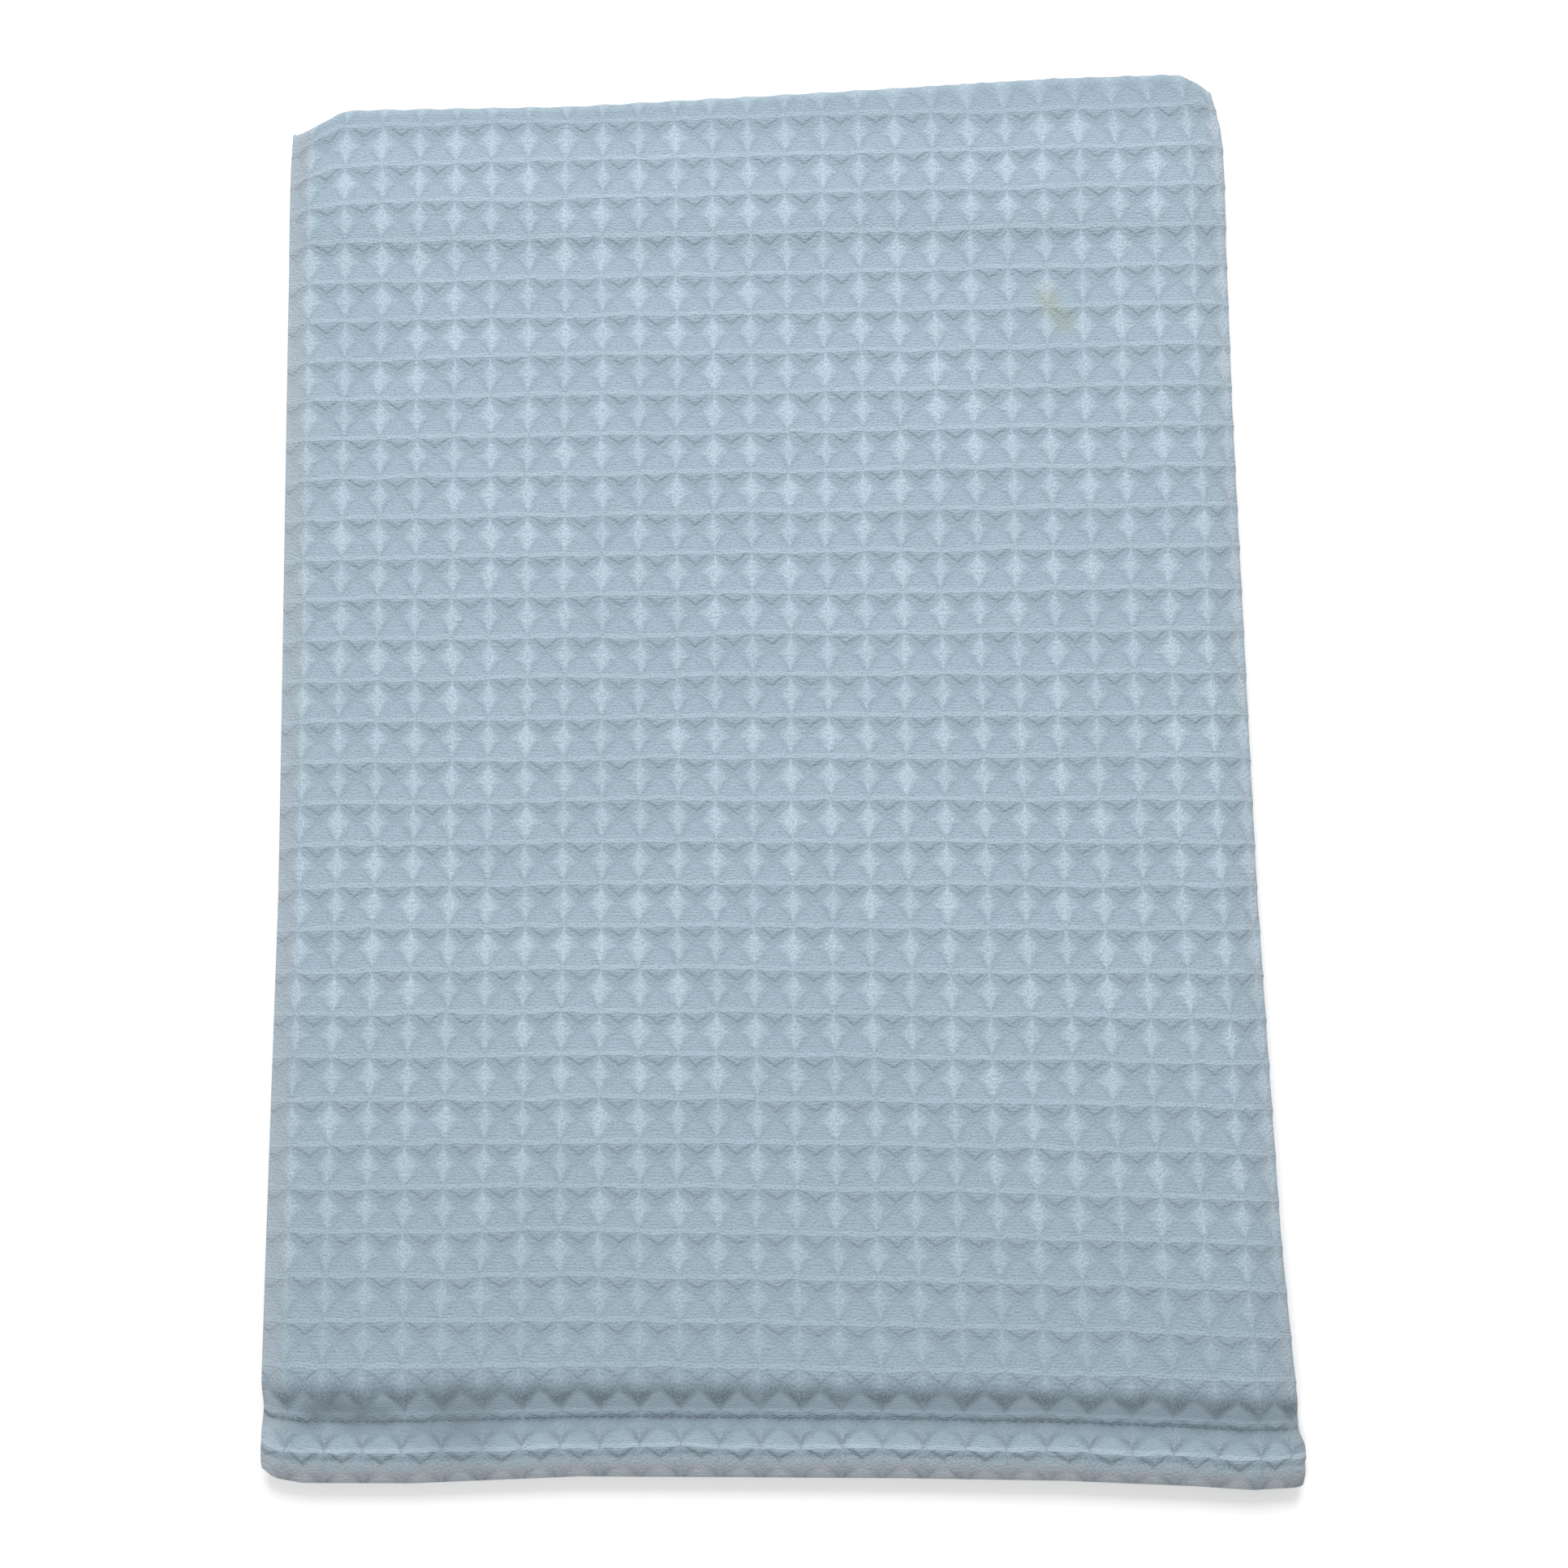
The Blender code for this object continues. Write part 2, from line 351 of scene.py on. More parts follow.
def cloth_places(across, along, face):
    """Points of one face of the cloth: 1 the face outside the lengthwise fold, -1 the inner one."""
    angle = np.clip((across - SIDE_BEND_START) / SIDE_BEND_RADIUS, 0, math.pi)
    past_bend = np.maximum(0, across - SIDE_BEND_START - SIDE_BEND_LENGTH)
    x = np.minimum(across, SIDE_BEND_START) - past_bend

    from_far, from_near = along, TOTAL - along
    from_end = np.minimum(from_far, from_near)
    full = np.where(from_far < from_near, FAR_HEM_PLY, NEAR_HEM_PLY)
    body = PLY + (full - PLY) * smooth((HEM_DEPTH - from_end) / SEAM_REACH)
    inward = 1 - np.clip(from_end / NOSE_REACH, 0, 1)
    ply = NOSE_PLY + (body - NOSE_PLY) * np.sqrt(1 - inward * inward)
    pitch = ply + PLY_GAP + NOSE_PARTING * inward

    thickness = rim_share(from_end) * rim_share(across - LEFT_EDGE)
    thickness = thickness * rim_share(LOWER_PLY_END - across)
    half = (pitch + face * ply * thickness) / 2

    mid_y, mid_z, heading = walk_section(along)
    from_seam = smooth((HEM_DEPTH - from_near) / SEAM_REACH)
    height = np.where(from_far < HEM_DEPTH, (ply + pitch) / 2, mid_z)
    near_height = SEAM_HEIGHT * (1 - from_seam) + (ply + pitch) / 2
    height = np.where(from_near < HEM_DEPTH, near_height, height)

    offset = np.cos(angle) * half
    y = mid_y + np.sin(heading) * offset
    z = height - np.cos(heading) * offset
    lifted = smooth((y - FAR_HEM_END + HEM_DEPTH + LIFT_REACH) / LIFT_REACH)
    z += np.where(height > LAYER_PITCH, 2 * (FAR_HEM_PLY - PLY) * lifted, 0)
    return lie(x + np.sin(angle) * half, y, z, along, pitch)


# The weave's lines on the folded cloth


def across_of(ridge):
    """The place across the cloth of a line of the weave."""
    rows = np.array(RIDGES_ACROSS)
    beyond = rows[-1, 1] + (ridge - rows[-1, 0]) * CELL_ACROSS
    before = rows[0, 1] + (ridge - rows[0, 0]) * CELL_ACROSS
    inside = np.interp(ridge, rows[:, 0], rows[:, 1])
    return np.where(ridge > rows[-1, 0], beyond, np.where(ridge < 0, before, inside))


def ridge_across(across):
    rows = np.array(RIDGES_ACROSS)
    beyond = rows[-1, 0] + (across - rows[-1, 1]) / CELL_ACROSS
    before = rows[0, 0] + (across - rows[0, 1]) / CELL_ACROSS
    inside = np.interp(across, rows[:, 1], rows[:, 0])
    return np.where(across > rows[-1, 1], beyond, np.where(across < rows[0, 1], before, inside))


def ridge_along(along):
    """The line of the weave at a way along the cloth, counted from the near hem."""
    rows = np.array(RIDGES_ALONG)
    from_near = TOTAL - along
    beyond = rows[-1, 0] + (from_near - rows[-1, 1]) / CELL_ALONG
    inside = np.interp(from_near, rows[:, 1], rows[:, 0])
    return np.where(from_near > rows[-1, 1], beyond, inside)


FAR_ROW = float(ridge_along(FAR_FOLD_START + RUNS[FAR_BEND].length / 2))


def way_of(ridge):
    rows = np.array(RIDGES_ALONG)
    beyond = rows[-1, 1] + (ridge - rows[-1, 0]) * CELL_ALONG
    return TOTAL - np.where(ridge > rows[-1, 0], beyond, np.interp(ridge, rows[:, 0], rows[:, 1]))


def fold_across_weave(across, along):
    """The far fold crosses the weave at a slant: the way along where each point of a line lies."""
    x = np.minimum(across, SIDE_BEND_START)
    x = x - np.maximum(0, across - SIDE_BEND_START - SIDE_BEND_LENGTH)
    slant = np.clip(far_cut(x), *WEAVE_SLANT)
    shifted = along
    for _ in range(4):
        y, _, _ = walk_section(shifted)
        shifted = along + slant * far_share(y) * (along > NEAR_FOLD_START)
    return shifted


# The cloth's mesh


def rim_steps(edge, inward):
    """Places that round an edge of the cloth off."""
    return [edge + inward * RIM * (1 - math.cos(math.radians(angle))) for angle in (0, 28, 56, 90)]


def spread(first, last, steps):
    return list(first + (last - first) * np.arange(1, steps) / steps)


def cell_lines(first, last, place_of):
    """The places of the weave's lines between two ridge numbers, with the steps in each cell."""
    ridges = [n + step for n in range(math.floor(first), math.ceil(last)) for step in CELL_STEPS]
    return [float(place_of(ridge)) for ridge in ridges if first <= ridge <= last]


def cloth_columns(fine):
    """Places across the outer face, and how far its relief shows at each."""
    left, right = LEFT_EDGE + RIM, SIDE_BEND_START
    bend_end = SIDE_BEND_START + SIDE_BEND_LENGTH
    first, last = ridge_across(left + LINE_MARGIN), ridge_across(right - LINE_MARGIN)
    if fine:
        upper = cell_lines(first, last, across_of)
        shares = [1] * len(upper)
    else:
        edge, fold = cell_lines(first, 0.5, across_of), cell_lines(24, last, across_of)
        middle = spread(edge[-1], fold[0], 8)
        upper = edge + middle + fold
        shares = [1] * len(edge) + [0] * len(middle) + [1] * len(fold)
    bend = [right] + spread(right, bend_end, 8) + [bend_end]
    lower = spread(bend_end, bend_end + CELL_ACROSS, 5) + [bend_end + CELL_ACROSS]
    rest = spread(lower[-1], LOWER_PLY_END - RIM, 6)
    start, end = rim_steps(LEFT_EDGE, 1), rim_steps(LOWER_PLY_END, -1)[::-1]
    places = start + upper + bend + lower + rest + end
    shares = [0, 0, 0, 1] + shares + [1] * (len(bend) + len(lower) - 1)
    return np.array(places), np.array(shares + [0] * (len(places) - len(shares)), float)


def cloth_rows(first, last):
    """Ways along the outer face: the weave's lines, with more of them round the folds."""
    lines = cell_lines(float(ridge_along(last)), float(ridge_along(first)), way_of)
    lines = [line for line in lines if RIM < line < TOTAL - RIM]
    bends = []
    for run, start, pitch, before, after in (
        # the bend, where it starts, its rows' pitch, and how far they go on before and after it
        (RUNS[NEAR_BEND], RUN_STARTS[NEAR_BEND], 0.0008, 0.0, 0.0),
        (RUNS[FAR_BEND], RUN_STARTS[FAR_BEND], 0.0009, 0.0040, 0.0030),
        (RUNS[CROWN], RUN_STARTS[CROWN], 0.0012, 0.0, 0.0),
        (RUNS[FOOT], RUN_STARTS[FOOT], 0.0012, 0.0, 0.0),
        (RUNS[NEAR_HEM], RUN_STARTS[NEAR_HEM] + HEM_DEPTH - NOSE_REACH, 0.0010, 0.0, 0.0),
    ):
        in_hem = run is RUNS[NEAR_HEM]
        length = NOSE_REACH - NOSE_ROWS_END if in_hem else run.length + before + after
        steps = round(length / pitch)
        bends += [start - before + length * i / steps for i in range(steps + 1)]
    bends += rim_steps(0.0, 1) + rim_steps(TOTAL, -1)
    bends = [way for way in bends if first <= way <= last]
    lines = [line for line in lines if min(abs(line - way) for way in bends) > ROW_GAP]
    return np.array(sorted(lines + bends))


def face_grid(columns, rows, shares, face, first_vertex):
    """A grid of one face of the cloth: its places, weave places, relief shares and quads."""
    across, along = np.meshgrid(columns, rows)
    slanted = fold_across_weave(across, along)
    places = cloth_places(across, slanted, face).reshape(-1, 3)
    weave = np.stack([ridge_across(across), ridge_along(along)], axis=-1).reshape(-1, 2)
    edge = np.minimum(along, TOTAL - along)
    share = (shares[None, :] * smooth(edge / RELIEF_FADE)).ravel()
    index = first_vertex + np.arange(across.size).reshape(across.shape)
    corners = [index[:-1, :-1], index[:-1, 1:], index[1:, 1:], index[1:, :-1]]
    if face > 0:
        corners.reverse()
    faces = np.stack(corners, axis=-1).reshape(-1, 4).tolist()
    return index, Sheet(places, weave, share, faces)


def zip_rows(first, first_ways, second, second_ways):
    """Triangles between two rows of vertices with different spacings."""
    faces, i, j = [], 0, 0
    while i < len(first) - 1 or j < len(second) - 1:
        if j == len(second) - 1 or (
            i < len(first) - 1 and first_ways[i + 1] <= second_ways[j + 1]
        ):
            faces.append((first[i + 1], first[i], second[j]))
            i += 1
        else:
            faces.append((first[i], second[j], second[j + 1]))
            j += 1
    return faces


def cloth_sheet():
    """Both faces of the cloth, zipped together round all four of its edges."""
    few, few_shares = cloth_columns(fine=False)
    many, many_shares = cloth_columns(fine=True)
    turn = FAR_FOLD_START - FINE_BEFORE_FOLD
    lower_rows, upper_rows = cloth_rows(0.0, turn), cloth_rows(turn + LINE_MARGIN, TOTAL)
    lower_index, lower = face_grid(few, lower_rows, few_shares, 1, 0)
    upper_index, upper = face_grid(many, upper_rows, many_shares, 1, lower_index.size)

    bend_end = SIDE_BEND_START + SIDE_BEND_LENGTH
    inset = 0.4 * RIM
    inner_columns = np.array(
        [LEFT_EDGE + inset, LEFT_EDGE + RIM, LEFT_EDGE + 4 * RIM]
        + spread(LEFT_EDGE + 4 * RIM, SIDE_BEND_START - RIGHT_SAG_REACH, 14)
        + spread(SIDE_BEND_START - RIGHT_SAG_REACH, SIDE_BEND_START, 4)
        + [SIDE_BEND_START]
        + spread(SIDE_BEND_START, bend_end, 6)
        + [bend_end]
        + spread(bend_end, LOWER_PLY_END - RIM, 14)
        + [LOWER_PLY_END - RIM, LOWER_PLY_END - inset]
    )
    inner_rows = [inset, RIM]
    for start, run in zip(RUN_STARTS, RUNS):
        inner_rows += spread(start, start + run.length, run.rows) + [start + run.length]
    inner_rows = np.array(
        [way for way in inner_rows[:-1] if way < TOTAL - 2 * RIM or way < RIM]
        + [TOTAL - RIM, TOTAL - inset]
    )
    inner_shares = np.zeros(len(inner_columns))
    start = lower_index.size + upper_index.size
    inner_index, inner = face_grid(inner_columns, inner_rows, inner_shares, -1, start)

    outer_rows = np.concatenate([lower_rows, upper_rows])
    edges = (
        # the outer face's edge, its ways, the inner face's edge, its ways, whether it is turned
        (lower_index[0], few, inner_index[0], inner_columns, True),
        (upper_index[-1], many, inner_index[-1], inner_columns, False),
        (
            np.concatenate([lower_index[:, 0], upper_index[:, 0]]),
            outer_rows,
            inner_index[:, 0],
            inner_rows,
            False,
        ),
        (
            np.concatenate([lower_index[:, -1], upper_index[:, -1]]),
            outer_rows,
            inner_index[:, -1],
            inner_rows,
            True,
        ),
    )
    faces = lower.faces + upper.faces + inner.faces
    faces += zip_rows(lower_index[-1], few, upper_index[0], many)
    for outer_edge, outer_ways, inner_edge, inner_ways, turned in edges:
        strip = zip_rows(outer_edge, outer_ways, inner_edge, inner_ways)
        faces += [face[::-1] for face in strip] if turned else strip
    return Sheet(
        np.concatenate([lower.places, upper.places, inner.places]),
        np.concatenate([lower.weave, upper.weave, inner.weave]),
        np.concatenate([lower.share, upper.share, inner.share]),
        [tuple(int(corner) for corner in face) for face in faces],
    )


# The weave's relief, shared by the mesh and the material


def waffle_forms(tree, place, soft):
    """Sockets for the forms of a waffle weave: its floats, domes and ridges, and how far in it is.

    place counts cells across and along, with the ridges at whole numbers. soft is the way, in
    cells, over which the edge of a float rises.
    """
    # no two cells are alike: the ridges wander, and the floats are fuller here than there
    for scale, reach in ((0.45, 0.16), (2.6, 0.13)):
        noise = add(tree, "ShaderNodeTexNoise", {"Vector": place, "Scale": scale}, "Color")
        noise = add(tree, VECTOR, (noise, (-0.5, -0.5, -0.5)), operation="ADD")
        noise = add(tree, VECTOR, {0: noise, "Scale": reach}, operation="SCALE")
        place = add(tree, VECTOR, (place, noise), operation="ADD")
    across, along, _ = add(tree, "ShaderNodeSeparateXYZ", (place,)).node.outputs
    ridge = add(tree, MATH, (across,), operation="ROUND")
    row = add(tree, MATH, (along,), operation="FLOOR")
    cell = add(tree, "ShaderNodeCombineXYZ", (ridge, row))
    chance = add(tree, "ShaderNodeTexWhiteNoise", {"Vector": cell})
    fullness = add(tree, MATH, (chance, 0.4, 0.70), operation="MULTIPLY_ADD")

    from_warp = add(tree, MATH, (across, 0.5), operation="PINGPONG")
    from_weft = add(tree, MATH, (along, 0.5), operation="PINGPONG")
    above = add(tree, MATH, (along,), operation="FRACT")
    below = add(tree, MATH, (1.0, above), operation="SUBTRACT")
    pit = add(tree, MATH, (from_warp, from_weft, 0.08), operation="SMOOTH_MIN")
    pit = add(tree, MATH, (pit, 2.0), operation="MULTIPLY")

    # under a weft ridge its floats end in a chevron, and over it in a round dome
    chevron = add(tree, MATH, (from_warp, 0.62, -0.09), operation="MULTIPLY_ADD")
    inside = add(tree, MATH, (chevron, below), operation="SUBTRACT")
    pad = add(tree, RAMP, (inside, -soft / 2, soft / 2))
    edge = add(tree, MATH, (from_warp, 0.75, -0.15), operation="MULTIPLY_ADD")
    edge = add(tree, MATH, (edge, below), operation="SUBTRACT")
    edge = add(tree, MATH, (edge,), operation="ABSOLUTE")
    chevron_edge = add(tree, RAMP, (edge, 0.0, 0.10, 1.0, 0.0))
    inward = add(tree, MATH, (from_warp, -2.0, 1.0), operation="MULTIPLY_ADD")
    inward = add(tree, MATH, (inward, inward), operation="MULTIPLY")
    dome = add(tree, MATH, (1.0, inward), operation="SUBTRACT")
    dome = add(tree, MATH, (dome,), operation="SQRT")
    inside = add(tree, MATH, (dome, 0.46), operation="MULTIPLY")
    inside = add(tree, MATH, (inside, above), operation="SUBTRACT")
    mound = add(tree, RAMP, (inside, -soft / 2, soft / 2))
    edge = add(tree, MATH, (inside, 0.03), operation="ADD")
    edge = add(tree, MATH, (edge,), operation="ABSOLUTE")
    edge = add(tree, RAMP, (edge, 0.0, 0.18, 1.0, 0.0))
    flank = add(tree, RAMP, (from_warp, 0.10, 0.42, 1.0, 0.0))
    dome_edge = add(tree, MATH, (edge, flank), operation="MULTIPLY")
    inside = add(tree, MATH, (from_warp, 0.75), operation="MULTIPLY")
    inside = add(tree, MATH, (dome, 0.20, inside), operation="MULTIPLY_ADD")
    inside = add(tree, MATH, (inside, above), operation="SUBTRACT")
    tent = add(tree, RAMP, (inside, -0.10, 0.10))
    away = add(tree, MATH, (above, 0.07), operation="SUBTRACT")
    away = add(tree, MATH, (away,), operation="ABSOLUTE")
    weft_ridge = add(tree, RAMP, (away, 0.0, 0.083, 1.0, 0.0))

    # the warp floats make a diamond on their ridge, and only a few cross the weft ridge
    upper = add(tree, MATH, (below, 1.25, -0.10), operation="MULTIPLY_ADD")
    shoulder = add(tree, MATH, (above, 3.0, -1.08), operation="MULTIPLY_ADD")
    tail = add(tree, MATH, (above, 0.75, -0.05), operation="MULTIPLY_ADD")
    lower = add(tree, MATH, (shoulder, tail), operation="MAXIMUM")
    wide = add(tree, MATH, (upper, lower), operation="MINIMUM")
    wide = add(tree, MATH, (wide, fullness), operation="MULTIPLY")
    wide = add(tree, MATH, (wide, 0.05), operation="MAXIMUM")
    narrow = add(tree, MATH, (wide, 0.20), operation="MULTIPLY")
    warp = add(tree, RAMP, (from_warp, narrow, wide, 1.0, 0.0))
    from_end = add(tree, MATH, (0.91, below), operation="SUBTRACT")
    from_end = add(tree, MATH, (below, from_end), operation="MINIMUM")
    fading = add(tree, RAMP, (from_end, 0.0, 0.18, 0.38, 1.0))
    warp = add(tree, MATH, (warp, fading), operation="MULTIPLY")
    warp = add(tree, MATH, (warp, fullness), operation="MULTIPLY")
    return Forms(
        across, along, pit, warp, pad, chevron_edge, mound, dome_edge, tent, weft_ridge
    )


def relief_tree():
    """Geometry Nodes: sinks the pits of the weave into the cloth's outer face."""
    tree = bpy.data.node_groups.new("waffle relief", "GeometryNodeTree")
    for name, kind in (
        ("Cloth", "NodeSocketGeometry"),
        ("Pit depth", "NodeSocketFloat"),
        ("Warp height", "NodeSocketFloat"),
        ("Weft height", "NodeSocketFloat"),
        ("Material", "NodeSocketMaterial"),
    ):
        tree.interface.new_socket(name, in_out="INPUT", socket_type=kind)
    tree.interface.new_socket("Cloth", in_out="OUTPUT", socket_type="NodeSocketGeometry")
    cloth, pit_depth, warp_height, weft_height, material = list(
        add(tree, "NodeGroupInput").node.outputs
    )[:5]
    place = add(tree, ATTRIBUTE, {"Name": "weave place"}, data_type="FLOAT_VECTOR")
    share = add(tree, ATTRIBUTE, {"Name": "relief"}, data_type="FLOAT")
    forms = waffle_forms(tree, place, 0.15)
    pads = add(tree, MATH, (forms.mound, 0.35), operation="MULTIPLY")
    pads = add(tree, MATH, (forms.pad, pads), operation="MAXIMUM")
    pads = add(tree, MATH, (pads, weft_height), operation="MULTIPLY")
    floats = add(tree, MATH, (forms.warp, warp_height), operation="MULTIPLY")
    height = add(tree, MATH, (floats, pads), operation="MAXIMUM")
    highest = add(tree, MATH, (warp_height, weft_height), operation="MAXIMUM")
    height = add(tree, MATH, (height, highest), operation="SUBTRACT")
    depth = add(tree, MATH, (forms.pit, pit_depth), operation="MULTIPLY")
    height = add(tree, MATH, (height, depth), operation="SUBTRACT")
    height = add(tree, MATH, (height, share), operation="MULTIPLY")
    normal = add(tree, "GeometryNodeInputNormal")
    offset = add(tree, VECTOR, {0: normal, "Scale": height}, operation="SCALE")
    moved = add(tree, "GeometryNodeSetPosition", {"Geometry": cloth, "Offset": offset})
    real = add(tree, "GeometryNodeRealizeInstances", (moved,))
    done = add(tree, "GeometryNodeSetMaterial", {"Geometry": real, "Material": material})
    add(tree, "NodeGroupOutput", (done,))
    return tree


def stitch_tree():
    """Geometry Nodes: lays one short stitch after another along a seam."""
    tree = bpy.data.node_groups.new("hem stitches", "GeometryNodeTree")
    for name, kind in (
        ("Seam", "NodeSocketGeometry"),
        ("Stitch pitch", "NodeSocketFloat"),
        ("Stitch length", "NodeSocketFloat"),
        ("Thread width", "NodeSocketFloat"),
        ("Material", "NodeSocketMaterial"),
    ):
        tree.interface.new_socket(name, in_out="INPUT", socket_type=kind)
    tree.interface.new_socket("Stitches", in_out="OUTPUT", socket_type="NodeSocketGeometry")
    seam, pitch, length, width, material = list(add(tree, "NodeGroupInput").node.outputs)[:5]
    points = add(
        tree, "GeometryNodeResampleCurve", {"Curve": seam, "Length": pitch}, mode="LENGTH"
    )
    size = add(tree, "ShaderNodeCombineXYZ", (length, width, width))
    thread = add(tree, "GeometryNodeMeshIcoSphere", {"Radius": 0.5, "Subdivisions": 2})
    way = add(tree, "GeometryNodeInputTangent")
    turned = add(tree, "FunctionNodeAlignRotationToVector", {"Vector": way}, axis="X")
    stitches = add(
        tree,
        "GeometryNodeInstanceOnPoints",
        {"Points": points, "Instance": thread, "Rotation": turned, "Scale": size},
    )
    real = add(tree, "GeometryNodeRealizeInstances", (stitches,))
    smooth_faces = add(tree, "GeometryNodeSetShadeSmooth", {"Geometry": real})
    done = add(tree, "GeometryNodeSetMaterial", {"Geometry": smooth_faces, "Material": material})
    add(tree, "NodeGroupOutput", (done,))
    return tree


def grown(name, data, tree, **values):
    """A plain mesh object: what a Geometry Nodes tree makes of a mesh or a curve."""
    seed = bpy.data.objects.new(name + " seed", data)
    bpy.context.scene.collection.objects.link(seed)
    modifier = seed.modifiers.new(tree.name, "NODES")
    modifier.node_group = tree
    sockets = {item.name: item for item in tree.interface.items_tree if item.in_out == "INPUT"}
    for key, value in values.items():
        modifier[sockets[key.replace("_", " ")].identifier] = value
    evaluated = seed.evaluated_get(bpy.context.evaluated_depsgraph_get())
    mesh = bpy.data.meshes.new_from_object(evaluated)
    seed.modifiers.remove(modifier)
    bpy.data.objects.remove(seed)
    if not mesh.polygons:
        raise RuntimeError(f"{tree.name} made nothing for {name}")
    piece = bpy.data.objects.new(name, mesh)
    bpy.context.scene.collection.objects.link(piece)
    return piece


# Materials


def cotton_material(settings):
    """Waffle-woven cotton, yarn-dyed pale blue: matt, with a faint bloom of loose fibre.

    The warp floats stand bright on the vertical ridges, a painted sheen, and the pits are a little
    darker, from painted shade; painted shade also darkens the hem and the drop over its seam, and
    painted highlights lie on the domes and weft ridges.
    """
    material = bpy.data.materials.new("waffle-woven cotton, pale blue")
    material.use_nodes = True
    tree = material.node_tree
    tree.nodes.clear()
    place = add(tree, "ShaderNodeUVMap", uv_map="weave")
    forms = waffle_forms(tree, place, 0.07)

    # the yarns are drawn about a millimetre apart, coarser than they are
    turns = 2 * math.pi * YARNS_PER_CELL
    warp_yarns = add(tree, MATH, (forms.across, turns), operation="MULTIPLY")
    warp_yarns = add(tree, MATH, (warp_yarns,), operation="SINE")
    weft_yarns = add(tree, MATH, (forms.along, turns), operation="MULTIPLY")
    weft_yarns = add(tree, MATH, (weft_yarns,), operation="SINE")
    pads = add(tree, MATH, (forms.pad, forms.mound), operation="MAXIMUM")
    yarns = add(tree, MATH, (warp_yarns, weft_yarns), operation="MULTIPLY")
    yarns = add(tree, "ShaderNodeMix", {"Factor": pads, 2: yarns, 3: weft_yarns})
    yarns = add(tree, "ShaderNodeMix", {"Factor": forms.warp, 2: yarns, 3: warp_yarns})
    fuzz = add(tree, "ShaderNodeTexNoise", {"Vector": place, "Scale": 16.0, "Detail": 4.0})

    height = add(tree, MATH, (yarns, settings.yarn_height), operation="MULTIPLY")
    for form, rise in (
        (forms.warp, settings.warp_height),
        (forms.pad, settings.weft_height),
        (forms.mound, settings.weft_height * 0.35),
        (fuzz, settings.fuzz_height),
    ):
        height = add(tree, MATH, (form, rise, height), operation="MULTIPLY_ADD")
    normal = add(tree, "ShaderNodeBump", {"Height": height, "Distance": 1.0, "Strength": 1.0})

    # pale lays painted highlights and sheen and the yarns' streaks, shade lays painted shade and
    # the mottling, deep lays painted shade in the creases
    pale, shade, deep, grey_edge, stain = (
        (*colour, 1.0)
        for colour in (
            settings.float_and_highlight_colour,
            settings.shade_and_mottle_colour,
            settings.crease_shade_colour,
            settings.grey_edge_colour,
            settings.stain_colour,
        )
    )
    broad = add(tree, "ShaderNodeTexNoise", {"Vector": place, "Scale": 0.16, "Detail": 2.0})
    patchy = add(tree, "ShaderNodeTexNoise", {"Vector": place, "Scale": 1.3, "Detail": 4.0})
    patchy = add(tree, RAMP, (patchy, 0.3, 0.7, 0.35, 1.30))
    grain = add(tree, RAMP, (fuzz, 0.35, 0.65, 0.55, 1.45))
    patchy = add(tree, MATH, (patchy, grain), operation="MULTIPLY")
    in_hem = add(tree, MATH, (forms.along, 0.85), operation="LESS_THAN")

    # the floats lie flatter near the hem, so their painted sheen is weaker there
    flatter = add(tree, RAMP, (forms.along, 0.8, 5.0, 0.30, 0.86))
    layers = [
        # how much of it, its colour
        # painted shade under the chevrons and round the domes, and painted highlights on the domes
        # and along the weft ridges
        (add(tree, RAMP, (forms.chevron_edge, 0.0, 1.0, 0.0, 0.36)), shade),
        (add(tree, RAMP, (forms.mound, 0.0, 1.0, 0.0, 0.12)), pale),
        (add(tree, RAMP, (forms.dome_edge, 0.0, 1.0, 0.0, 0.80)), shade),
        (add(tree, RAMP, (forms.weft_ridge, 0.0, 1.0, 0.0, 0.42)), pale),
    ]
    # painted shade: the hem is darker towards its seam
    for last, share, tint in ((0.05, 0.62, shade), (0.20, 0.80, deep)):
        hem = add(tree, RAMP, (forms.along, last, 0.85, 0.0, share))
        layers.append((add(tree, MATH, (hem, in_hem), operation="MULTIPLY"), tint))
    layers += [
        # painted sheen: the warp floats lighter on their ridges
        (add(tree, MATH, (forms.warp, flatter), operation="MULTIPLY"), pale),
        (add(tree, RAMP, (yarns, -1.0, 1.0, 0.0, 0.14)), pale),
        (add(tree, RAMP, (fuzz, 0.36, 0.72, 0.0, 0.58)), shade),
        # washed unevenly; painted shade darkens the near rows and the rows over the far fold
        (add(tree, RAMP, (broad, 0.2, 0.8, 0.0, 0.18)), shade),
        (add(tree, RAMP, (forms.along, 11.0, 3.0, 0.0, 0.22)), shade),
        (add(tree, RAMP, (forms.along, FAR_ROW - 1.4, FAR_ROW, 0.0, 0.5)), shade),
        # the hem's nose and the towel's sides are greyer and darker
        (add(tree, RAMP, (forms.along, -0.10, -0.50, 0.0, 0.85)), grey_edge),
        (add(tree, RAMP, (forms.across, 0.05, -0.30, 0.0, 0.45)), grey_edge),
        (add(tree, RAMP, (forms.across, 0.05, -0.30, 0.0, 0.15)), pale),
        (add(tree, RAMP, (forms.across, 24.6, 25.0, 0.0, 0.3)), grey_edge),
    ]
    # the hem's cells are drawn in: painted shade makes dark lines round their floats and on their
    # warp ridges, and a painted highlight lies on their domes
    for form, share, tint in (
        (forms.warp, 0.28, deep),
        (forms.mound, 0.11, pale),
        (forms.chevron_edge, 0.60, deep),
        (forms.dome_edge, 0.60, deep),
    ):
        line = add(tree, MATH, (form, share), operation="MULTIPLY")
        line = add(tree, MATH, (line, patchy), operation="MULTIPLY")
        layers.append((add(tree, MATH, (line, in_hem), operation="MULTIPLY"), tint))
